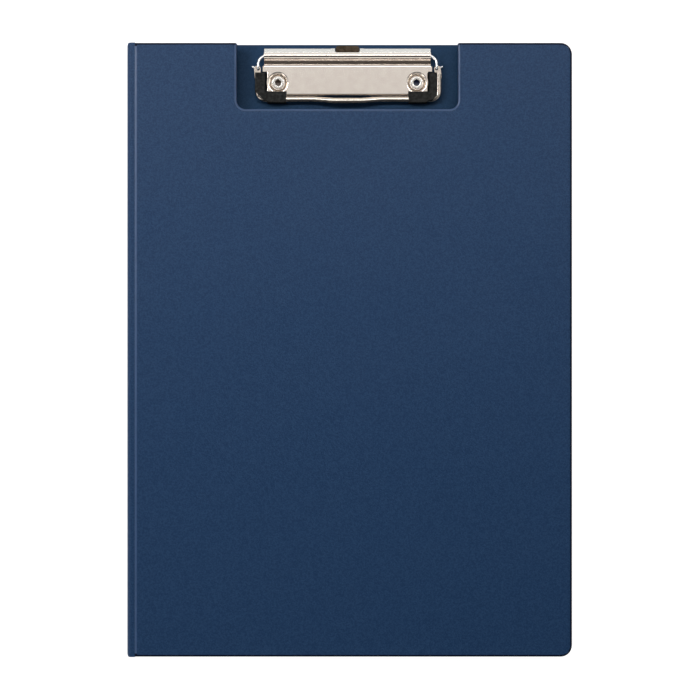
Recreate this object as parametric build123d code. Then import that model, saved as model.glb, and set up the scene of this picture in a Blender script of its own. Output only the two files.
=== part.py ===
from build123d import *
import os
from math import cos, radians, sin, tan

# A4 foldover clipboard, lying closed on its back. X runs across from the spine (-X) to the free edge,
# Y runs up to the clip's end, Z is up. The origin is the centre of the folder, on the surface it lies on.
# All sizes are in millimetres.

# Folder
folder_width = 232.0
folder_height = 320.0
spine_depth = 12.0
free_corner_radius = 6.0
spine_corner_radius = 1.8
least_corner_radius = 0.4

# Panels: a greyboard core between two films that are welded together round the edge
board_thickness = 2.0
film_thickness = 0.3
weld_lip_width = 0.5
weld_slope_width = 0.8
weld_lip_thickness = 0.6

# Live hinges: the welded films alone, from the panel's edge round to the spine's edge
hinge_reach = 4.2
hinge_rise = 3.0
hinge_film_thickness = 0.6
hinge_inset = 0.3
hinge_bend_radius = 2.0
crease_chamfer = 0.3

# Notch in the cover, round the clip
clip_x = -1.1
notch_width = 115.0
notch_depth = 34.5
notch_inner_radius = 4.4
notch_mouth_radius = 1.0

# Document pocket inside the cover
pocket_film = 0.25
pocket_gap = 0.15
pocket_height = 190.0
pocket_slant = 30.0
pocket_edge_inset = 4.0
pocket_weld_width = 3.0

# Clip. Its Y values are measured from the folder's top edge, and its X values from clip_x.
# Clip base plate, pressed from sheet
sheet = 0.8
plate_front_y = -26.9
platform_rise = 3.2
platform_end_y = -11.6
hump_y = -6.2
hump_axis_rise = 3.7
hump_front_angle = 75.0
flange_end_y = -2.1
hump_half_width = 43.6
ear_half_width = 44.3
ear_front_y = -14.4
ear_back_y = -11.7
side_half_width = 42.7
corner_notch_y = -24.7
lip_half_width = 31.8
side_lip_depth = 2.2
press_radius = 0.9
tight_press_radius = 0.5

# Rivets, each in a pressed dimple of the plate
rivet_half_spacing = 36.3
rivet_y = -20.0
rivet_shank_radius = 2.0
rivet_bore_radius = 1.6
rivet_bore_floor = 0.5
rivet_roll_radius = 3.2
rivet_roll_height = 0.9
rivet_head_radius = 4.5
rivet_head_thickness = 0.5
rivet_head_sink = 0.1
rivet_hole_clearance = 0.1
rivet_edge_radius = 0.15
dimple_floor_radius = 3.9
dimple_rim_radius = 5.2
dimple_land = 0.7

# Torsion wire
torsion_radius = 0.6
torsion_clearance = 0.4
torsion_arm_u = 46.7
torsion_bend_radius = 4.4
torsion_hook_radius = 1.1
torsion_hook_rise = 1.0
torsion_hook_drop = 2.6
torsion_tip_radius = 0.85
torsion_tip_reach = 3.2
torsion_tip_back = 1.4

# Jaw wire, a U with a finger bow, whose arms sit a little to the right of the clip's middle
jaw_radius = 1.55
jaw_arm_u = 47.35
jaw_shift = 0.4
jaw_bar_y = -28.9
jaw_rise = 2.75
jaw_corner_radius = 4.2
jaw_arm_end_y = -15.8
bow_outer_u = 17.4
bow_inner_u = 7.2
bow_reach = 0.9
bow_lift = 1.7
bow_radius = 6.0
eye_u = 47.1
eye_y = -13.0
eye_radius = 1.7
eye_thickness = 1.6
eye_hole_radius = 0.85
eye_neck_step = 0.03

# Rubber pads on the jaw's corners
pad_gap = 0.3
pad_rest_gap = 0.2
left_pad_outer_u = 48.3
right_pad_outer_u = 46.9
pad_top_y = -15.0
pad_arm_top_y = -25.0
pad_front_wall = 0.45
pad_cover = 0.5
pad_wire_clearance = 0.02
pad_step_u = 41.4
pad_step = 1.0
pad_corner_chamfer = 2.8
pad_edge_radius = 0.5
pad_tooth_pitch = 1.3
pad_tooth_width = 0.5
pad_tooth_depth = 0.3

# Hanging hook, a tongue that slides under the plate
hook_thickness = 0.7
hook_clearance = 0.1
hook_half_width = 6.2
hook_end_y = -0.5
hook_end_radius = 1.6
hook_hole_radius = 2.75
hook_hole_from_end = 6.4
hook_travel = 12.0
hook_tail_half_width = 11.0
hook_stop_gap = 0.3
hook_window_half_width = 6.55
hook_window_depth = 2.0
hook_bridge_half_width = 8.6
hook_bridge_wall = 1.0

# Worked out from the sizes above
panel_thickness = board_thickness + 2 * film_thickness
half_width = folder_width / 2
half_height = folder_height / 2
weld_width = weld_lip_width + weld_slope_width
board_inset = weld_width + film_thickness
panel_edge_x = -half_width + hinge_reach
board_top = panel_thickness
half_sheet = sheet / 2
bend = press_radius
hump_radius = torsion_radius + torsion_clearance + half_sheet
hump_z = board_top + hump_axis_rise
platform_z = board_top + platform_rise - half_sheet
flange_z = board_top + half_sheet
hook_z = board_top + hook_clearance
bridge_z = hook_z + hook_thickness + hook_clearance + half_sheet
jaw_z = board_top + jaw_rise
flange_front_y = hump_y + hump_radius
clip_y = half_height
through = 50.0
margin = 1.0


def block(x0, x1, y0, y1, z0, z1):
    """A box between two corners."""
    return Pos((x0 + x1) / 2, (y0 + y1) / 2, (z0 + z1) / 2) * Box(x1 - x0, y1 - y0, z1 - z0)


def rectangle(x0, x1, y0, y1):
    return Pos((x0 + x1) / 2, (y0 + y1) / 2) * Rectangle(x1 - x0, y1 - y0)


def rounded(sketch, corners):
    """Rounds the sketch's corners that lie at the given (x, y, radius)."""
    for x, y, radius in corners:
        corner = sketch.vertices().sort_by_distance((x, y, 0))[0]
        sketch = fillet(corner, radius)
    return sketch


def slab(sketch, z0, z1):
    return extrude(Pos(0, 0, z0) * sketch, amount=z1 - z0)


def bent_strip(path, thickness):
    """The section of a bent sheet whose middle follows the path."""
    return trace(path, thickness)


def panel_outline(inset, hinge_side_inset, notched):
    """The outline of a panel, drawn in by an inset, with or without the clip's notch."""
    left = panel_edge_x + hinge_side_inset
    right = half_width - inset
    top = half_height - inset
    outline = rectangle(left, right, -top, top)
    corner_radius = max(free_corner_radius - inset, least_corner_radius)
    corners = [(right, top, corner_radius), (right, -top, corner_radius)]
    if notched:
        notch_left = clip_x - notch_width / 2 - inset
        notch_right = clip_x + notch_width / 2 + inset
        notch_floor = half_height - notch_depth - inset
        outline -= rectangle(notch_left, notch_right, notch_floor, half_height + margin)
        mouth_radius = max(notch_mouth_radius - inset, least_corner_radius)
        for x in (notch_left, notch_right):
            corners.append((x, notch_floor, notch_inner_radius + inset))
            corners.append((x, top, mouth_radius))
    return rounded(outline, corners)


def panel_pieces(notched):
    """Film, board and liner of one panel. The liner's face is at z = 0 and the film's face is up."""
    liner_top = film_thickness
    board_top_z = liner_top + board_thickness
    lip = slab(panel_outline(0, 0, notched), 0, weld_lip_thickness)
    slope_height = panel_thickness - weld_lip_thickness
    slope_angle = 90 - Vector(weld_slope_width, slope_height).get_angle(Vector(1, 0))
    crown = extrude(
        Pos(0, 0, weld_lip_thickness) * panel_outline(weld_lip_width, 0, notched),
        amount=slope_height,
        taper=slope_angle,
    )
    squared = block(
        panel_edge_x,
        panel_edge_x + 2 * weld_width,
        -half_height + 2 * weld_width,
        half_height - 2 * weld_width,
        0,
        panel_thickness,
    )
    whole = lip + crown + squared
    crest = whole.edges().filter_by(Axis.Y).group_by(Axis.Z)[-1].sort_by(Axis.X)[0]
    whole = chamfer(crest, crease_chamfer)
    board = slab(panel_outline(board_inset, board_inset, notched), liner_top, board_top_z)
    liner = slab(panel_outline(0, 0, notched), 0, liner_top)
    film = whole - board - liner
    return film, board, liner


def cover_panel():
    place = Pos(0, 0, spine_depth - panel_thickness)
    film, board, liner = panel_pieces(notched=True)
    return place * film, place * board, place * liner


def back_panel():
    """The same panel face down, whole, with the rivets' holes and the sunk seats of their heads."""
    pieces = []
    for piece in panel_pieces(notched=False):
        piece = Pos(0, 0, panel_thickness) * mirror(piece, Plane.XY)
        for side in (-1, 1):
            shank = Cylinder(rivet_shank_radius + rivet_hole_clearance, through)
            head = Cylinder(
                rivet_head_radius + rivet_hole_clearance,
                rivet_head_sink + rivet_head_thickness,
                align=(Align.CENTER, Align.CENTER, Align.MIN),
            )
            piece -= Pos(clip_x + side * rivet_half_spacing, clip_y + rivet_y, 0) * (shank + head)
        pieces.append(piece)
    return pieces


def spine_panel():
    """Film, board and liner of the spine, which stands on edge at the folder's left."""
    outer_x = -half_width
    inner_x = outer_x + panel_thickness
    low = hinge_rise
    high = spine_depth - hinge_rise
    whole = block(outer_x, inner_x, -half_height, half_height, low, high)
    ends = whole.edges().filter_by(Axis.Z).group_by(Axis.X)[0]
    whole = fillet(ends, spine_corner_radius)
    board = block(
        outer_x + film_thickness,
        inner_x - film_thickness,
        -half_height + board_inset,
        half_height - board_inset,
        low + film_thickness,
        high - film_thickness,
    )
    liner_zone = block(inner_x - film_thickness, inner_x, -half_height, half_height, low, high)
    liner = whole & liner_zone
    film = whole - board - liner
    return film, board, liner


def rear_hinge_film():
    """The bent strip of welded film from the back panel's edge round to the spine's edge."""
    middle = hinge_inset + hinge_film_thickness / 2
    corner_x = -half_width + middle
    path = FilletPolyline(
        (panel_edge_x, middle),
        (corner_x, middle),
        (corner_x, hinge_rise),
        radius=hinge_bend_radius - hinge_film_thickness / 2,
    )
    section = Plane.XZ * bent_strip(path, hinge_film_thickness)
    strip = extrude(section, amount=half_height, both=True)
    plan = rectangle(-half_width, panel_edge_x, -half_height, half_height)
    plan = rounded(
        plan,
        [
            (-half_width, half_height, spine_corner_radius),
            (-half_width, -half_height, spine_corner_radius),
        ],
    )
    return strip & slab(plan, 0, spine_depth)


def front_hinge_film():
    return mirror(rear_hinge_film(), Plane.XY.offset(spine_depth / 2))


def cover_pocket():
    """A film pocket on the cover's inner face, open along its slanted top edge."""
    liner_face = spine_depth - panel_thickness
    left = panel_edge_x + pocket_edge_inset
    right = half_width - pocket_edge_inset
    bottom = -half_height + pocket_edge_inset
    outline = make_face(
        Polyline(
            (left, bottom),
            (right, bottom),
            (right, bottom + pocket_height - pocket_slant),
            (left, bottom + pocket_height),
            close=True,
        )
    )
    corner = max(free_corner_radius - pocket_edge_inset, least_corner_radius)
    outline = rounded(outline, [(right, bottom, corner)])
    hollow = make_face(
        Polyline(
            (left + pocket_weld_width, bottom + pocket_weld_width),
            (right - pocket_weld_width, bottom + pocket_weld_width),
            (right - pocket_weld_width, bottom + pocket_height + margin),
            (left + pocket_weld_width, bottom + pocket_height + margin),
            close=True,
        )
    )
    whole = slab(outline, liner_face - pocket_gap - pocket_film, liner_face)
    return whole - slab(hollow, liner_face - pocket_gap, liner_face)


def plate_section(rear_flange_z):
    """The plate's section along Y: front lip, platform, valley, hump and rear flange."""
    valley_z = bridge_z
    slope = radians(hump_front_angle)
    tangent_y = hump_y - hump_radius * sin(slope)
    tangent_z = hump_z + hump_radius * cos(slope)
    valley_end_y = tangent_y - (tangent_z - valley_z) / tan(slope)
    front = FilletPolyline(
        (plate_front_y + half_sheet, board_top),
        (plate_front_y + half_sheet, platform_z),
        (platform_end_y, platform_z),
        (valley_end_y, valley_z),
        (tangent_y, tangent_z),
        radius=(tight_press_radius, bend, tight_press_radius),
    )
    crest = CenterArc((hump_y, hump_z), hump_radius, 90 + hump_front_angle, -90 - hump_front_angle)
    rear = FilletPolyline(
        (flange_front_y, hump_z),
        (flange_front_y, rear_flange_z),
        (flange_end_y, rear_flange_z),
        radius=tight_press_radius,
    )
    return Plane.YZ * bent_strip(Wire([*front.edges(), *crest.edges(), *rear.edges()]), sheet)


def plate_plan():
    """The plate's outline from above, with its corner notches and side ears."""
    rear = flange_end_y + margin
    outline = rectangle(-lip_half_width, lip_half_width, plate_front_y - margin, rear)
    outline += rectangle(-side_half_width, side_half_width, corner_notch_y, rear)
    outline += rectangle(-ear_half_width, ear_half_width, ear_front_y, ear_back_y)
    outline += rectangle(-hump_half_width, hump_half_width, ear_back_y, rear)
    window_floor = flange_end_y - hook_window_depth
    window = rectangle(-hook_window_half_width, hook_window_half_width, window_floor, rear)
    window = rounded(
        window,
        [
            (-hook_window_half_width, window_floor, hook_window_depth / 2),
            (hook_window_half_width, window_floor, hook_window_depth / 2),
        ],
    )
    return outline - window


def dimple():
    """The pressed cup round a rivet, as a ring about its own axis, with its floor on the board."""
    floor_z = flange_z
    path = FilletPolyline(
        (rivet_shank_radius + rivet_hole_clearance, floor_z),
        (dimple_floor_radius, floor_z),
        (dimple_rim_radius, platform_z),
        (dimple_rim_radius + dimple_land, platform_z),
        radius=tight_press_radius,
    )
    return revolve(Plane.XZ * bent_strip(path, sheet), Axis.Z)


def clip_base_plate():
    reach = ear_half_width + margin
    plate = extrude(plate_section(flange_z), amount=reach, both=True)
    bridge_span = block(
        -hook_bridge_half_width, hook_bridge_half_width, hump_y, flange_end_y, 0, spine_depth
    )
    bridge = extrude(plate_section(bridge_z), amount=hook_bridge_half_width, both=True)
    walls = block(
        -hook_bridge_half_width,
        hook_bridge_half_width,
        flange_front_y - half_sheet,
        flange_end_y,
        board_top,
        bridge_z + half_sheet,
    )
    walls -= block(
        -hook_bridge_half_width + hook_bridge_wall,
        hook_bridge_half_width - hook_bridge_wall,
        hump_y,
        flange_end_y + margin,
        0,
        bridge_z,
    )
    plate = (plate - bridge_span) + (bridge & bridge_span) + walls
    plate &= slab(plate_plan(), 0, spine_depth)
    side_corner = side_half_width - half_sheet
    for side in (-1, 1):
        lip_path = FilletPolyline(
            (side * (side_corner - 2 * bend), platform_z),
            (side * side_corner, platform_z),
            (side * side_corner, platform_z + half_sheet - side_lip_depth),
            radius=bend,
        )
        lip = Plane.XZ * bent_strip(lip_path, sheet)
        lip = Pos(0, ear_front_y, 0) * extrude(lip, amount=ear_front_y - corner_notch_y)
        shoulder = block(
            side * side_corner - bend,
            side * side_corner + bend,
            corner_notch_y - margin,
            ear_front_y,
            board_top + sheet,
            spine_depth,
        )
        plate = (plate - shoulder) + lip
        rivet_place = Pos(side * rivet_half_spacing, rivet_y, 0)
        opening = Cylinder(dimple_rim_radius + dimple_land, through)
        cup = (rivet_place * dimple()) & slab(plate_plan(), 0, spine_depth)
        plate = (plate - rivet_place * opening) + cup
    return Pos(clip_x, clip_y, 0) * plate


def rivet(side):
    """A tubular rivet: head sunk in the board, shank, and end rolled over the dimple's floor."""
    seat = board_top + sheet
    top = seat + rivet_roll_height
    head_low = rivet_head_sink
    head_high = rivet_head_sink + rivet_head_thickness
    roll = 0.9 * rivet_roll_height / 2
    edge = rivet_edge_radius
    outline = FilletPolyline(
        (0, head_low),
        (rivet_head_radius, head_low),
        (rivet_head_radius, head_high),
        (rivet_shank_radius, head_high),
        (rivet_shank_radius, seat),
        (rivet_roll_radius, seat),
        (rivet_roll_radius, top),
        (rivet_bore_radius, top),
        (rivet_bore_radius, head_high + rivet_bore_floor),
        (0, head_high + rivet_bore_floor),
        radius=(edge, edge, 0, 0, edge, roll, roll, edge),
    )
    section = make_face([*outline.edges(), Line((0, head_high + rivet_bore_floor), (0, head_low))])
    body = revolve(Plane.XZ * section, Axis.Z)
    return Pos(clip_x + side * rivet_half_spacing, clip_y + rivet_y, 0) * body


def tube(path, radius):
    """A round wire along the path."""
    return sweep((path ^ 0) * Circle(radius), path=path)


def torsion_path():
    """From one tip, up through the jaw's eye, round the hump's axis and down to the other tip."""
    top_z = hump_z + torsion_hook_rise
    low_z = hump_z - torsion_hook_drop
    tip_u = torsion_arm_u + torsion_tip_reach
    tip_y = eye_y + torsion_tip_back
    points = [
        (-tip_u, tip_y, low_z),
        (-torsion_arm_u, eye_y, low_z),
        (-torsion_arm_u, eye_y, top_z),
        (-torsion_arm_u, hump_y, hump_z),
        (torsion_arm_u, hump_y, hump_z),
        (torsion_arm_u, eye_y, top_z),
        (torsion_arm_u, eye_y, low_z),
        (tip_u, tip_y, low_z),
    ]
    hook = (torsion_tip_radius, torsion_hook_radius, torsion_bend_radius)
    return FilletPolyline(*points, radius=(*hook, *reversed(hook)))


def torsion_wire():
    return Pos(clip_x, clip_y, 0) * tube(torsion_path(), torsion_radius)


def jaw_path():
    bow_y = jaw_bar_y - bow_reach
    bow_z = jaw_z + bow_lift
    left_u = jaw_shift - jaw_arm_u
    right_u = jaw_shift + jaw_arm_u
    points = [
        (left_u, jaw_arm_end_y, jaw_z),
        (left_u, jaw_bar_y, jaw_z),
        (-bow_outer_u, jaw_bar_y, jaw_z),
        (-bow_inner_u, bow_y, bow_z),
        (bow_inner_u, bow_y, bow_z),
        (bow_outer_u, jaw_bar_y, jaw_z),
        (right_u, jaw_bar_y, jaw_z),
        (right_u, jaw_arm_end_y, jaw_z),
    ]
    bows = (bow_radius,) * 4
    return FilletPolyline(*points, radius=(jaw_corner_radius, *bows, jaw_corner_radius))


def jaw_end(side, clearance):
    """The wire's flattened end, which widens from the arm to the eye."""
    end = Pos(side * eye_u, eye_y) * Circle(eye_radius + clearance)
    neck_radius = jaw_radius - eye_neck_step + clearance
    neck_u = jaw_shift + side * jaw_arm_u
    neck = Pos(neck_u, jaw_arm_end_y - jaw_radius) * Circle(neck_radius)
    reach = eye_thickness / 2 + clearance
    return slab(make_hull([*end.edges(), *neck.edges()]), jaw_z - reach, jaw_z + reach)


def jaw_wire():
    wire = tube(jaw_path(), jaw_radius)
    for side in (-1, 1):
        wire += jaw_end(side, 0)
        wire -= Pos(side * torsion_arm_u, eye_y, jaw_z) * Cylinder(eye_hole_radius, 4 * jaw_radius)
    return Pos(clip_x, clip_y, 0) * wire


def jaw_pad(side):
    """A rubber L on the jaw's corner, moulded round the wire, with teeth along its front."""
    outer = right_pad_outer_u if side > 0 else left_pad_outer_u
    inner = side_half_width + pad_gap
    arm_end = lip_half_width + pad_gap
    front = jaw_bar_y - jaw_radius - pad_front_wall
    step_y = front + pad_step
    outline = Polyline(
        (arm_end, front),
        (pad_step_u, front),
        (pad_step_u + pad_step, step_y),
        (outer - pad_corner_chamfer, step_y),
        (outer, step_y + pad_corner_chamfer),
        (outer, pad_top_y),
        (inner, pad_top_y),
        (inner, pad_arm_top_y),
        (arm_end, pad_arm_top_y),
        close=True,
    )
    low = board_top + pad_rest_gap
    high = jaw_z + jaw_radius + pad_cover
    body = slab(make_face(outline), low, high)
    body = fillet(body.faces().sort_by(Axis.Z)[-1].edges(), pad_edge_radius)
    teeth = int((pad_step_u - arm_end - pad_tooth_width) / pad_tooth_pitch)
    for i in range(teeth):
        x = arm_end + pad_tooth_pitch * (i + 1)
        body -= block(
            x - pad_tooth_width / 2,
            x + pad_tooth_width / 2,
            front - margin,
            front + pad_tooth_depth,
            low - margin,
            high + margin,
        )
    if side < 0:
        body = mirror(body, Plane.YZ)
    groove = tube(jaw_path(), jaw_radius + pad_wire_clearance)
    return Pos(clip_x, clip_y, 0) * (body - groove - jaw_end(side, pad_wire_clearance))


def hanging_hook():
    """A flat tongue with a nail hole and a wide tail that stops it under the plate."""
    shoulder_y = flange_front_y - half_sheet - hook_stop_gap - hook_travel
    tail_y = plate_front_y + sheet + hook_stop_gap
    tongue = rectangle(-hook_half_width, hook_half_width, tail_y, hook_end_y)
    tongue = rounded(
        tongue,
        [
            (-hook_half_width, hook_end_y, hook_end_radius),
            (hook_half_width, hook_end_y, hook_end_radius),
        ],
    )
    tail = rectangle(-hook_tail_half_width, hook_tail_half_width, tail_y, shoulder_y)
    hole = Pos(0, hook_end_y - hook_hole_from_end) * Circle(hook_hole_radius)
    return Pos(clip_x, clip_y, 0) * slab(tongue + tail - hole, hook_z, hook_z + hook_thickness)


def main():
    os.makedirs("parts", exist_ok=True)
    cover_film, cover_board, cover_liner = cover_panel()
    back_film, back_board, back_liner = back_panel()
    spine_film, spine_board, spine_liner = spine_panel()
    nodes = {
        "back_board": back_board,
        "back_cover_film": back_film,
        "back_liner": back_liner,
        "rear_hinge_film": rear_hinge_film(),
        "spine_board": spine_board,
        "spine_film": spine_film,
        "spine_liner": spine_liner,
        "front_hinge_film": front_hinge_film(),
        "cover_board": cover_board,
        "cover_film": cover_film,
        "cover_liner": cover_liner,
        "cover_pocket": cover_pocket(),
        "clip_base_plate": clip_base_plate(),
        "left_rivet": rivet(-1),
        "right_rivet": rivet(1),
        "hanging_hook": hanging_hook(),
        "torsion_wire": torsion_wire(),
        "jaw_wire": jaw_wire(),
        "left_jaw_pad": jaw_pad(-1),
        "right_jaw_pad": jaw_pad(1),
    }
    for name, solid in nodes.items():
        export_step(solid, f"parts/{name}.step")


main()
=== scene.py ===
import math

import bmesh
import bpy
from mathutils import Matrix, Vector


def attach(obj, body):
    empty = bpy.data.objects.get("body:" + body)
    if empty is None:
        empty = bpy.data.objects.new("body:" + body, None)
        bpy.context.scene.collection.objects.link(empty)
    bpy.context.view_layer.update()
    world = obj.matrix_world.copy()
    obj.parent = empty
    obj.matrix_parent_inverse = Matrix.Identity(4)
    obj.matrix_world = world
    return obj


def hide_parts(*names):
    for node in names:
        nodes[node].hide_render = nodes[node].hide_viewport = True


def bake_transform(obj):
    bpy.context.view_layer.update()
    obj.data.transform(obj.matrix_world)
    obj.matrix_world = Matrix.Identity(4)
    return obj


# The looks of an A4 foldover clipboard. Its shapes are in millimetres in the row frame until MM turns
# them into metres. Materials, floor, lamps and camera are in metres.

MM = 0.001
# Points of a mesh that lie closer than this become one, in metres
SAME_POINT = 1e-6

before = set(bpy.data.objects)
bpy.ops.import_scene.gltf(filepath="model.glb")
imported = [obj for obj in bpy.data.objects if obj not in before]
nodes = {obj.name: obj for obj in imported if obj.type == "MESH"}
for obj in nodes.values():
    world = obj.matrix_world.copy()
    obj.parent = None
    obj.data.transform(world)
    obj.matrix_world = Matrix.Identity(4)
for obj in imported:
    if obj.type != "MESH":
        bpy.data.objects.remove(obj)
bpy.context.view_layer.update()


# The folder's sizes

HALF_WIDTH = 116.0
HALF_HEIGHT = 160.0
DEPTH = 12.0
PANEL = 2.6
FILM = 0.3
FREE_CORNER = 6.0
SPINE_CORNER = 1.8
SPINE_ROUND = 0.6
HINGE_REACH = 4.2
HINGE_RISE = 3.0
HINGE_INSET = 0.3
HINGE_FILM = 0.6
HINGE_BEND = 2.0
PANEL_EDGE = -HALF_WIDTH + HINGE_REACH
CLIP_X = -1.1
NOTCH_HALF_WIDTH = 57.5
NOTCH_DEPTH = 34.5
NOTCH_CORNER = 4.4
NOTCH_MOUTH = 1.0
LEAST_MOUTH = 0.4
# Where the painted highlight on the plate's rear flange begins, and the width over which it fades in
FLANGE_Y = 155.0
FLANGE_EDGE = 0.4
RIVET_HALF_SPACING = 36.3
RIVET_Y = 140.0
RIVET_SEAT = 4.6
RIVET_SEAT_DEPTH = 0.7
JAW_SHIFT = 0.4
JAW_ARM_U = 47.35
JAW_CORNER = 4.2
JAW_BAR_Y = 131.1
JAW_Z = 5.35
BORE_RADIUS = 1.58
BORE_FLOOR_Z = 1.1
BORE_FLOOR_SKIN = 0.05
BORE_FLOOR_DISH = 0.25


# Materials

def srgb(red, green, blue):
    """A linear colour from 0 to 255 screen values."""
    channels = []
    for value in (red, green, blue):
        value /= 255
        if value <= 0.04045:
            channels.append(value / 12.92)
        else:
            channels.append(((value + 0.055) / 1.055) ** 2.4)
    return (*channels, 1.0)


def new_material(name, roughness, metallic=0.0, specular=0.5):
    material = bpy.data.materials.new(name)
    material.use_nodes = True
    shader = material.node_tree.nodes["Principled BSDF"]
    shader.inputs["Roughness"].default_value = roughness
    shader.inputs["Metallic"].default_value = metallic
    shader.inputs["Specular IOR Level"].default_value = specular
    return material, material.node_tree, shader


def noise(tree, scale, detail=2.0, stretch=(1, 1, 1)):
    """A noise in object space whose scale is in waves per metre."""
    coordinates = tree.nodes.new("ShaderNodeTexCoord")
    mapping = tree.nodes.new("ShaderNodeMapping")
    mapping.inputs["Scale"].default_value = stretch
    texture = tree.nodes.new("ShaderNodeTexNoise")
    texture.inputs["Scale"].default_value = scale
    texture.inputs["Detail"].default_value = detail
    tree.links.new(coordinates.outputs["Object"], mapping.inputs["Vector"])
    tree.links.new(mapping.outputs["Vector"], texture.inputs["Vector"])
    return texture.outputs["Fac"]


def tint(tree, shader, factor, low_colour, high_colour, low=0.3, high=0.7):
    """The base colour runs between two colours along a factor."""
    ramp = tree.nodes.new("ShaderNodeValToRGB")
    ramp.color_ramp.elements[0].position = low
    ramp.color_ramp.elements[0].color = low_colour
    ramp.color_ramp.elements[1].position = high
    ramp.color_ramp.elements[1].color = high_colour
    tree.links.new(factor, ramp.inputs["Fac"])
    tree.links.new(ramp.outputs["Color"], shader.inputs["Base Color"])


def spread(tree, shader, factor, low_value, high_value):
    """The roughness runs between two values along a factor."""
    span = tree.nodes.new("ShaderNodeMapRange")
    span.inputs["To Min"].default_value = low_value
    span.inputs["To Max"].default_value = high_value
    tree.links.new(factor, span.inputs["Value"])
    tree.links.new(span.outputs["Result"], shader.inputs["Roughness"])


def bump(tree, shader, heights):
    """Bump nodes in a chain, from (factor, depth in metres) pairs."""
    before = None
    for factor, depth in heights:
        node = tree.nodes.new("ShaderNodeBump")
        node.inputs["Distance"].default_value = depth
        tree.links.new(factor, node.inputs["Height"])
        if before is not None:
            tree.links.new(before, node.inputs["Normal"])
        before = node.outputs["Normal"]
    tree.links.new(before, shader.inputs["Normal"])


def film_material(name, low_colour, high_colour, grain_depth, specular):
    """Embossed plastic film: a fine sandy grain, with faint waves where it lies on the board."""
    material, tree, shader = new_material(name, 0.5, specular=specular)
    mottle = noise(tree, 1300, 2)
    grain = noise(tree, 2200, 2)
    wave = noise(tree, 22, 1)
    tint(tree, shader, mottle, low_colour, high_colour, 0.36, 0.64)
    spread(tree, shader, mottle, 0.42, 0.5)
    bump(tree, shader, [(wave, 0.0006), (grain, grain_depth)])
    return material


def weld_highlight_material():
    """The film where the hot welding die has pressed its grain smooth and glossy, coloured a lighter
    navy than the film: a painted highlight along the crest.
    """
    material, tree, shader = new_material("weld_highlight_film", 0.4, specular=0.5)
    mottle = noise(tree, 400, 2)
    # Painted highlight: a lighter navy than the film's own colours
    tint(tree, shader, mottle, srgb(32, 62, 98), srgb(39, 69, 108))
    spread(tree, shader, mottle, 0.36, 0.44)
    return material


def rim_shade_material():
    """Painted shade: the film's steep edge and rim, coloured near black for the shade that falls there.
    """
    material, tree, shader = new_material("painted_rim_shade", 0.5, specular=0.05)
    mottle = noise(tree, 600, 2)
    tint(tree, shader, mottle, srgb(6, 13, 30), srgb(10, 19, 40))
    spread(tree, shader, mottle, 0.45, 0.55)
    return material


def plate_material():
    """The clip's nickel plate. Its rear flange gets a brighter colour than its front, a painted
    highlight: the plate is one metal, lit more on its flange.
    """
    material, tree, shader = new_material("nickel_plate", 0.2, metallic=1.0)
    rolling = noise(tree, 60, 3, stretch=(1, 26, 26))
    haze = noise(tree, 300, 2)
    tint(tree, shader, haze, srgb(220, 209, 199), srgb(224, 214, 204))
    # Painted highlight: past FLANGE_Y the base colour steps up to a brighter nickel, for the light the
    # rear flange catches.
    front = shader.inputs["Base Color"].links[0].from_socket
    place = tree.nodes.new("ShaderNodeTexCoord")
    parts = tree.nodes.new("ShaderNodeSeparateXYZ")
    rear = tree.nodes.new("ShaderNodeMapRange")
    rear.inputs["From Min"].default_value = FLANGE_Y * MM
    rear.inputs["From Max"].default_value = (FLANGE_Y + FLANGE_EDGE) * MM
    both = tree.nodes.new("ShaderNodeMix")
    both.data_type = "RGBA"
    both.inputs["B"].default_value = srgb(229, 228, 223)
    tree.links.new(place.outputs["Object"], parts.inputs["Vector"])
    tree.links.new(parts.outputs["Y"], rear.inputs["Value"])
    tree.links.new(rear.outputs["Result"], both.inputs["Factor"])
    tree.links.new(front, both.inputs["A"])
    tree.links.new(both.outputs["Result"], shader.inputs["Base Color"])
    spread(tree, shader, haze, 0.12, 0.13)
    bump(tree, shader, [(rolling, 0.0000004)])
    return material


def wire_material(name, low_colour, high_colour, roughness):
    """Drawn and plated wire, faintly pitted."""
    material, tree, shader = new_material(name, roughness, metallic=1.0)
    haze = noise(tree, 700, 3)
    tint(tree, shader, haze, low_colour, high_colour)
    spread(tree, shader, haze, roughness - 0.05, roughness + 0.05)
    bump(tree, shader, [(haze, 0.000004)])
    return material


def rubber_material():
    material, tree, shader = new_material("black_rubber", 0.6, specular=0.14)
    grain = noise(tree, 1500, 3)
    scuff = noise(tree, 700, 3)
    tint(tree, shader, scuff, srgb(10, 10, 9), srgb(38, 38, 37), 0.36, 0.64)
    spread(tree, shader, grain, 0.5, 0.68)
    bump(tree, shader, [(grain, 0.00006)])
    return material


def board_material():
    material, tree, shader = new_material("greyboard", 0.9, specular=0.2)
    fibre = noise(tree, 900, 4, stretch=(1, 1, 6))
    tint(tree, shader, fibre, srgb(120, 114, 104), srgb(150, 144, 132))
    bump(tree, shader, [(fibre, 0.0001)])
    return material


navy_film = film_material("navy_film", srgb(20, 49, 83), srgb(33, 62, 96), 0.0001, 0.2)
liner_film = film_material("liner_film", srgb(28, 53, 79), srgb(34, 59, 87), 0.00006, 0.06)
weld_highlight_film = weld_highlight_material()
painted_rim_shade = rim_shade_material()
greyboard = board_material()
nickel_plate = plate_material()
rivet_nickel = wire_material("rivet_nickel", srgb(206, 202, 196), srgb(216, 212, 206), 0.2)
jaw_nickel = wire_material("jaw_nickel", srgb(200, 190, 178), srgb(210, 200, 190), 0.16)
spring_wire = wire_material("spring_wire", srgb(214, 216, 216), srgb(226, 228, 228), 0.14)
# The hanging hook's metal, coloured dark brown, far darker than the clip's nickel
dark_bronze = wire_material("dark_bronze", srgb(32, 26, 18), srgb(66, 57, 48), 0.32)
black_rubber = rubber_material()

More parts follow.
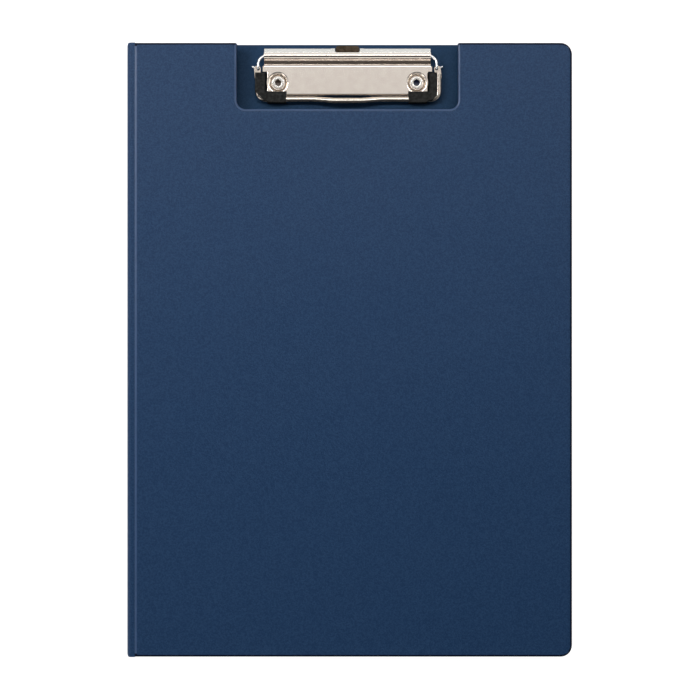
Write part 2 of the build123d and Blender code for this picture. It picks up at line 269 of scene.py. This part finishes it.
finishes = {
    navy_film: ("cover_film", "back_cover_film", "spine_film"),
    liner_film: ("cover_liner", "back_liner", "spine_liner", "cover_pocket"),
    greyboard: ("cover_board", "back_board", "spine_board"),
    nickel_plate: ("clip_base_plate",),
    rivet_nickel: ("left_rivet", "right_rivet"),
    jaw_nickel: ("jaw_wire",),
    spring_wire: ("torsion_wire",),
    dark_bronze: ("hanging_hook",),
    black_rubber: ("left_jaw_pad", "right_jaw_pad"),
}
for material, names in finishes.items():
    for name in names:
        nodes[name].data.materials.clear()
        nodes[name].data.materials.append(material)


# Mesh helpers

def mesh_object(name, vertices, faces, material, sharp=40):
    """A mesh from millimetre points, shaded smooth apart from its sharp edges."""
    mesh = bpy.data.meshes.new(name)
    mesh.from_pydata([[c * MM for c in v] for v in vertices], [], faces)
    work = bmesh.new()
    work.from_mesh(mesh)
    bmesh.ops.remove_doubles(work, verts=work.verts, dist=SAME_POINT)
    bmesh.ops.recalc_face_normals(work, faces=work.faces)
    for face in work.faces:
        face.smooth = True
    for edge in work.edges:
        if len(edge.link_faces) == 2 and edge.calc_face_angle() > math.radians(sharp):
            edge.smooth = False
    work.to_mesh(mesh)
    work.free()
    mesh.materials.append(material)
    piece = bpy.data.objects.new(name, mesh)
    bpy.context.scene.collection.objects.link(piece)
    return piece


# Live hinges and spine

def bend(centre, radius, thickness, steps):
    """Pairs of outer and inner points (x, z) round a quarter turn, from its foot to its left side."""
    pairs = []
    for step in range(steps + 1):
        angle = math.radians(270 - 90 * step / steps)
        pairs.append(
            tuple(
                (centre[0] + reach * math.cos(angle), centre[1] + reach * math.sin(angle))
                for reach in (radius, radius - thickness)
            )
        )
    return pairs


def hinge_section():
    """Pairs of outer and inner points (x, z) along the bent strip, from the panel to the spine."""
    outer_x = -HALF_WIDTH + HINGE_INSET
    centre = (outer_x + HINGE_BEND, HINGE_INSET + HINGE_BEND)
    flat = 6
    pairs = []
    for i in range(flat):
        x = PANEL_EDGE + (centre[0] - PANEL_EDGE) * i / flat
        pairs.append(((x, HINGE_INSET), (x, HINGE_INSET + HINGE_FILM)))
    pairs += bend(centre, HINGE_BEND, HINGE_FILM, steps=12)
    for i in range(1, flat + 1):
        z = centre[1] + (HINGE_RISE - centre[1]) * i / flat
        pairs.append(((outer_x, z), (outer_x + HINGE_FILM, z)))
    return pairs


def spine_section():
    """The spine's outer film, wrapped round its board, as pairs of outer and inner points."""
    fold_x = -HALF_WIDTH + PANEL - FILM
    centre = (-HALF_WIDTH + SPINE_ROUND, HINGE_RISE + SPINE_ROUND)
    lower = [((fold_x, HINGE_RISE), (fold_x, HINGE_RISE + FILM))]
    lower += bend(centre, SPINE_ROUND, FILM, steps=6)
    upper = [((ox, DEPTH - oz), (ix, DEPTH - iz)) for (ox, oz), (ix, iz) in reversed(lower)]
    return lower + upper


def end_reach(x):
    """How far up the spine's side reaches at x: its ends are rounded off."""
    inward = x + HALF_WIDTH
    if inward >= SPINE_CORNER:
        return HALF_HEIGHT
    return HALF_HEIGHT - SPINE_CORNER + math.sqrt(SPINE_CORNER**2 - (SPINE_CORNER - inward) ** 2)


def strip(name, pairs, rows, material, flipped=False):
    """A film along the folder's whole height, from its section's pairs of outer and inner points."""
    vertices = []
    for layer in (0, 1):
        for pair in pairs:
            x, z = pair[layer]
            reach = end_reach(x)
            for row in range(rows):
                y = -reach + 2 * reach * row / (rows - 1)
                vertices.append((x, y, DEPTH - z if flipped else z))
    count = len(pairs)

    def at(layer, step, row):
        return (layer * count + step) * rows + row

    def quad(a, b, c, d):
        return (at(*a), at(*b), at(*c), at(*d))

    faces = []
    for step in range(count - 1):
        for row in range(rows - 1):
            for side in (0, 1):
                near = ((side, step, row), (side, step + 1, row))
                far = ((side, step + 1, row + 1), (side, step, row + 1))
                faces.append(quad(*near, *far))
        for row in (0, rows - 1):
            faces.append(quad((0, step, row), (0, step + 1, row), (1, step + 1, row), (1, step, row)))
    for step in (0, count - 1):
        for row in range(rows - 1):
            faces.append(quad((0, step, row), (0, step, row + 1), (1, step, row + 1), (1, step, row)))
    return mesh_object(name, vertices, faces, material)


# Rows of points along the folder's height
HINGE_ROWS = 33
SPINE_ROWS = 2

rear_strip = strip("rear_hinge_strip", hinge_section(), HINGE_ROWS, navy_film)
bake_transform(rear_strip)
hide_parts("rear_hinge_film")
front_strip = strip(
    "front_hinge_strip", hinge_section(), HINGE_ROWS, navy_film, flipped=True
)
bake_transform(front_strip)
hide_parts("front_hinge_film")
spine_skin = strip("spine_skin", spine_section(), SPINE_ROWS, navy_film)
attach(spine_skin, "spine")
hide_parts("spine_film")


# Panels

# The film's edge from outside in, as (inset, height): weld lip, wall, rounded crest
EDGE_PROFILE = (
    (0.0, 0.3),
    (0.0, 0.42),
    (0.05, 0.48),
    (0.12, 0.48),
    (0.16, 0.6),
    (0.18, 1.4),
    (0.22, 2.02),
    (0.32, 2.22),
    (0.56, 2.38),
    (0.95, 2.54),
    (1.2, 2.585),
    (1.9, 2.6),
)
# The crest along the hinge, as (distance from the hinge's film, height)
CREST_PROFILE = ((0.0, 2.3), (0.35, 2.43), (0.72, 2.55), (1.2, 2.58), (2.6, 2.6))
BOARD_INSET = 1.6
# A skin's sloping faces get the painted rim shade below RIM_TOP where they lie past RIM_X or RIM_Y, and
# below WALL_TOP elsewhere. Heights are over the liner's face.
WALL_TOP = 2.1
RIM_TOP = 2.57
RIM_X = 114.0
RIM_Y = 158.0
# Above CREST_FOOT they are smooth and painted lighter, a painted highlight, where the upright share of
# the normal is between STEEP and FLAT
CREST_FOOT = 1.9
STEEP = 0.4
FLAT = 0.9985
# The skins' material slots after the navy film's
WELD_HIGHLIGHT_SLOT = 1
RIM_SHADE_SLOT = 2


def corner_arc(corner, back, ahead, radius, steps=8):
    """The fillet of a right-angled corner, from the side it comes from to the side it goes to."""
    centre = [corner[i] + radius * (back[i] + ahead[i]) for i in (0, 1)]
    points = []
    for step in range(steps + 1):
        angle = math.pi / 2 * step / steps
        points.append(
            tuple(
                centre[i] - radius * (ahead[i] * math.cos(angle) + back[i] * math.sin(angle))
                for i in (0, 1)
            )
        )
    return points


def panel_outline(inset, hinge_inset, notched):
    """A panel's outline drawn in by an inset. It starts and ends at the hinge's crest stations."""
    left = PANEL_EDGE + hinge_inset
    right = HALF_WIDTH - inset
    reach = HALF_HEIGHT - inset
    corner = FREE_CORNER - inset
    stations = [left + across for across, _ in CREST_PROFILE]
    points = [(x, -reach) for x in stations]
    points += corner_arc((right, -reach), (-1, 0), (0, 1), corner)
    points += corner_arc((right, reach), (0, -1), (-1, 0), corner)
    if notched:
        low_x = CLIP_X - NOTCH_HALF_WIDTH - inset
        high_x = CLIP_X + NOTCH_HALF_WIDTH + inset
        floor_y = HALF_HEIGHT - NOTCH_DEPTH - inset
        mouth = max(NOTCH_MOUTH - inset, LEAST_MOUTH)
        inner = NOTCH_CORNER + inset
        points += corner_arc((high_x, reach), (1, 0), (0, -1), mouth)
        points += corner_arc((high_x, floor_y), (0, 1), (-1, 0), inner)
        points += corner_arc((low_x, floor_y), (1, 0), (0, 1), inner)
        points += corner_arc((low_x, reach), (0, -1), (-1, 0), mouth)
    points += [(x, reach) for x in reversed(stations)]
    return points


def finish_edge(skin, place_z):
    """Gives the crest's sloping faces the smooth weld film with its painted highlight, and the wall
    below them the painted shade.
    """
    for face in skin.data.polygons:
        height = abs(face.center.z / MM - place_z(0))
        slope = abs(face.normal.z)
        outside = abs(face.center.x) > RIM_X * MM or abs(face.center.y) > RIM_Y * MM
        if height < (RIM_TOP if outside else WALL_TOP) and slope < FLAT:
            face.material_index = RIM_SHADE_SLOT
        elif height > CREST_FOOT and STEEP < slope < FLAT:
            face.material_index = WELD_HIGHLIGHT_SLOT


def panel_skin(name, notched, place_z):
    """A panel's outer film, hollow for its board. place_z gives z at a height over the liner's face."""
    stations = len(CREST_PROFILE)
    rings = []
    for inset, height in EDGE_PROFILE:
        outline = panel_outline(inset, 0, notched)
        ring = []
        for i, (x, y) in enumerate(outline):
            station = min(i, len(outline) - 1 - i)
            crest = CREST_PROFILE[station][1] if station < stations else PANEL
            ring.append((x, y, min(height, crest)))
        rings.append(ring)
    for height in (FILM, PANEL - FILM):
        rings.append([(x, y, height) for x, y in panel_outline(BOARD_INSET, BOARD_INSET, notched)])
    count = len(rings[0])
    last = len(EDGE_PROFILE) - 1
    vertices = [(x, y, place_z(z)) for ring in rings for x, y, z in ring]

    def at(ring, i):
        return ring * count + i % count

    faces = []
    for ring in range(last):
        for i in range(count - 1):
            faces.append((at(ring, i), at(ring, i + 1), at(ring + 1, i + 1), at(ring + 1, i)))
    for i in range(stations - 1):
        faces.append(
            (at(last, i), at(last, i + 1), at(last, count - 2 - i), at(last, count - 1 - i))
        )
    faces.append([at(last, i) for i in range(stations - 1, count - stations + 1)])
    hinge_side = [at(ring, 0) for ring in range(last + 1)]
    hinge_side += [at(ring, count - 1) for ring in range(last, -1, -1)]
    faces.append(hinge_side)
    for outer, inner in ((0, last + 1), (last + 1, last + 2)):
        for i in range(count):
            faces.append((at(outer, i), at(outer, i + 1), at(inner, i + 1), at(inner, i)))
    faces.append([at(last + 2, i) for i in range(count)])
    skin = mesh_object(name, vertices, faces, navy_film, sharp=50)
    skin.data.materials.append(weld_highlight_film)
    skin.data.materials.append(painted_rim_shade)
    finish_edge(skin, place_z)
    return skin


def subtract(piece, cutter):
    """Takes a cutter's shape out of a piece, and the cutter away."""
    modifier = piece.modifiers.new("cut", "BOOLEAN")
    modifier.object = cutter
    modifier.operation = "DIFFERENCE"
    modifier.solver = "EXACT"
    graph = bpy.context.evaluated_depsgraph_get()
    mesh = bpy.data.meshes.new_from_object(piece.evaluated_get(graph))
    piece.modifiers.clear()
    piece.data = mesh
    bpy.data.objects.remove(cutter)


def cut_seat(piece, x, y, radius, depth):
    """Cuts a round seat into a piece from below."""
    bpy.ops.mesh.primitive_cylinder_add(
        vertices=64, radius=radius * MM, depth=2 * depth * MM, location=(x * MM, y * MM, 0)
    )
    subtract(piece, bpy.context.object)


cover_skin = panel_skin("cover_skin", True, lambda z: DEPTH - PANEL + z)
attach(cover_skin, "cover")
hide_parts("cover_film")
back_skin = panel_skin("back_skin", False, lambda z: PANEL - z)
for side in (-1, 1):
    cut_seat(back_skin, CLIP_X + side * RIVET_HALF_SPACING, RIVET_Y, RIVET_SEAT, RIVET_SEAT_DEPTH)
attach(back_skin, "back")
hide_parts("back_cover_film")


# Rivets' bores

def bore_shade_and_reflection_material(name, low_colour, high_colour):
    """A colour for the disc at the bottom of a hollow rivet's bore: painted shade for the right one, a
    painted reflection of the metal for the left.
    """
    material, tree, shader = new_material(name, 0.35, specular=0.3)
    mottle = noise(tree, 900, 2)
    tint(tree, shader, mottle, low_colour, high_colour)
    return material


def bore_floor(name, x, material):
    """A dished disc on the floor of a rivet's bore."""
    rings = 8
    sectors = 48
    vertices = [(x, RIVET_Y, BORE_FLOOR_Z + BORE_FLOOR_SKIN)]
    for ring in range(1, rings + 1):
        share = ring / rings
        height = BORE_FLOOR_Z + BORE_FLOOR_SKIN + BORE_FLOOR_DISH * share**2
        for sector in range(sectors):
            angle = 2 * math.pi * sector / sectors
            reach = BORE_RADIUS * share
            vertices.append((x + reach * math.cos(angle), RIVET_Y + reach * math.sin(angle), height))
    faces = []
    for sector in range(sectors):
        faces.append((0, 1 + sector, 1 + (sector + 1) % sectors))
    for ring in range(rings - 1):
        inner = 1 + ring * sectors
        outer = inner + sectors
        for sector in range(sectors):
            after = (sector + 1) % sectors
            faces.append((inner + sector, outer + sector, outer + after, inner + after))
    piece = mesh_object(name, vertices, faces, material)
    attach(piece, "back")


# Painted reflection in the left bore: a brown disc for the metal's sheen seen down it. Painted shade in
# the right bore: a navy far darker than the film.
painted_bore_reflection = bore_shade_and_reflection_material("painted_bore_reflection", srgb(74, 62, 55), srgb(104, 90, 82))
painted_bore_shade = bore_shade_and_reflection_material("painted_bore_shade", srgb(8, 14, 38), srgb(22, 34, 74))
bore_floor("left_bore_floor", CLIP_X - RIVET_HALF_SPACING, painted_bore_reflection)
bore_floor("right_bore_floor", CLIP_X + RIVET_HALF_SPACING, painted_bore_shade)


# Jaw pads

# How far from the bend's centre the corner is cut off, and the side of the cube that cuts it
PAD_CUT = 4.1
PAD_CUTTER = 12.0


def trimmed_pad(side_name, side):
    """A pad whose outer corner is cut off across the wire's bend, so that the wire shows there."""
    node = side_name + "_jaw_pad"
    piece = bpy.data.objects.new(side_name + "_pad_trimmed", nodes[node].data.copy())
    bpy.context.scene.collection.objects.link(piece)
    bend_x = CLIP_X + JAW_SHIFT + side * (JAW_ARM_U - JAW_CORNER)
    bend_y = JAW_BAR_Y + JAW_CORNER
    reach = (PAD_CUT + PAD_CUTTER / 2) / math.sqrt(2)
    bpy.ops.mesh.primitive_cube_add(
        size=PAD_CUTTER * MM,
        location=((bend_x + side * reach) * MM, (bend_y - reach) * MM, JAW_Z * MM),
        rotation=(0, 0, math.radians(45)),
    )
    subtract(piece, bpy.context.object)
    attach(piece, "jaw")
    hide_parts(node)


trimmed_pad("left", -1)
trimmed_pad("right", 1)


# Floor, light and camera

WHITE = (1, 1, 1, 1)
DIM = (0.03, 0.03, 0.033, 1)
FLOOR_SIZE = 8
FLOOR_DROP = 0.0001
FLOOR_GREY = 0.3
FLOOR_GLOW = 0.95
# The upright share of a direction where the white backdrop ends and where the ceiling starts
BACKDROP_TOP = 0.3
CEILING_FOOT = 0.7
CEILING_GLOW = 0.08


def background_rays(tree):
    """1 for the rays that see the background: from the camera, off a gloss or through glass."""
    path = tree.nodes.new("ShaderNodeLightPath")
    share = path.outputs["Is Camera Ray"]
    for kind in ("Is Glossy Ray", "Is Transmission Ray"):
        most = tree.nodes.new("ShaderNodeMath")
        most.operation = "MAXIMUM"
        tree.links.new(share, most.inputs[0])
        tree.links.new(path.outputs[kind], most.inputs[1])
        share = most.outputs[0]
    return share


def floor_material():
    """White to the camera and in reflections, over a grey that takes the part's shadow."""
    material = bpy.data.materials.new("floor")
    material.use_nodes = True
    tree = material.node_tree
    shader = tree.nodes["Principled BSDF"]
    shader.inputs["Base Color"].default_value = (FLOOR_GREY, FLOOR_GREY, FLOOR_GREY, 1)
    shader.inputs["Roughness"].default_value = 0.9
    shader.inputs["Specular IOR Level"].default_value = 0.0
    glow = tree.nodes.new("ShaderNodeEmission")
    glow.inputs["Color"].default_value = WHITE
    share = tree.nodes.new("ShaderNodeMath")
    share.operation = "MULTIPLY"
    share.inputs[1].default_value = FLOOR_GLOW
    tree.links.new(background_rays(tree), share.inputs[0])
    tree.links.new(share.outputs[0], glow.inputs["Strength"])
    both = tree.nodes.new("ShaderNodeAddShader")
    tree.links.new(shader.outputs["BSDF"], both.inputs[0])
    tree.links.new(glow.outputs["Emission"], both.inputs[1])
    tree.links.new(both.outputs["Shader"], tree.nodes["Material Output"].inputs["Surface"])
    return material


def light_world(world):
    """A studio whose backdrop is white along the horizon and fades to a dark ceiling."""
    world.use_nodes = True
    tree = world.node_tree
    direction = tree.nodes.new("ShaderNodeTexCoord")
    parts = tree.nodes.new("ShaderNodeSeparateXYZ")
    backdrop = tree.nodes.new("ShaderNodeMapRange")
    backdrop.inputs["From Min"].default_value = BACKDROP_TOP
    backdrop.inputs["From Max"].default_value = CEILING_FOOT
    backdrop.inputs["To Min"].default_value = 1
    backdrop.inputs["To Max"].default_value = CEILING_GLOW
    seen = tree.nodes.new("ShaderNodeMath")
    seen.operation = "MULTIPLY"
    sky = tree.nodes.new("ShaderNodeMix")
    sky.data_type = "RGBA"
    sky.inputs["A"].default_value = DIM
    sky.inputs["B"].default_value = WHITE
    tree.links.new(direction.outputs["Generated"], parts.inputs["Vector"])
    tree.links.new(parts.outputs["Z"], backdrop.inputs["Value"])
    tree.links.new(backdrop.outputs["Result"], seen.inputs[0])
    tree.links.new(background_rays(tree), seen.inputs[1])
    tree.links.new(seen.outputs[0], sky.inputs["Factor"])
    tree.links.new(sky.outputs["Result"], tree.nodes["Background"].inputs["Color"])


def softbox(name, place, aim, width, height, radiance, spread_angle=180):
    """A rectangular lamp of an even radiance, where 1 is white."""
    lamp = bpy.data.lights.new(name, "AREA")
    lamp.shape = "RECTANGLE"
    lamp.size = width
    lamp.size_y = height
    lamp.energy = radiance * math.pi * width * height
    lamp.spread = math.radians(spread_angle)
    holder = bpy.data.objects.new(name, lamp)
    bpy.context.scene.collection.objects.link(holder)
    holder.location = place
    holder.rotation_euler = (Vector(aim) - Vector(place)).to_track_quat("-Z", "Y").to_euler()
    holder.visible_camera = False


bpy.ops.mesh.primitive_plane_add(size=FLOOR_SIZE, location=(0, 0, -FLOOR_DROP))
floor = bpy.context.object
floor.name = "floor"
floor.data.materials.append(floor_material())

bpy.context.scene.world = bpy.data.worlds.new("studio")
light_world(bpy.context.scene.world)

softbox("overhead", (0, 0.8, 1.35), (0, 0.15, 0), 1.2, 1.3, 0.75)
softbox("key", (0, 0.43, 0.8), (0, 0.12, 0), 1.2, 0.1, 9.2)
softbox("back_panel", (0, 1.9, 0.62), (0, 0.15, 0), 1.6, 0.5, 0.6)
softbox("front_panel", (-0.5, -1.6, 0.52), (0, 0.15, 0), 2.2, 0.6, 0.7)
softbox("left_lamp", (-0.66, 0.42, 0.75), (0.02, 0.12, 0), 0.3, 0.3, 3.1, 90)
softbox("right_panel", (0.8, 0.35, 0.8), (0, 0.12, 0), 0.9, 0.9, 0.75)
softbox("left_strip", (-0.75, 0.11, 0.75), (-0.1, 0.07, 0), 0.45, 0.16, 2.9)
softbox("corner_lamp", (-0.75, -0.6, 0.55), (-0.04, 0.13, 0), 0.5, 0.5, 2.6)

camera_data = bpy.data.cameras.new("camera")
camera_data.lens = 108.5
camera_data.sensor_width = 36
camera = bpy.data.objects.new("camera", camera_data)
camera.location = (0.00026, -0.00012, 1.11)
bpy.context.scene.collection.objects.link(camera)
bpy.context.scene.camera = camera
bpy.context.scene.view_settings.view_transform = "Standard"
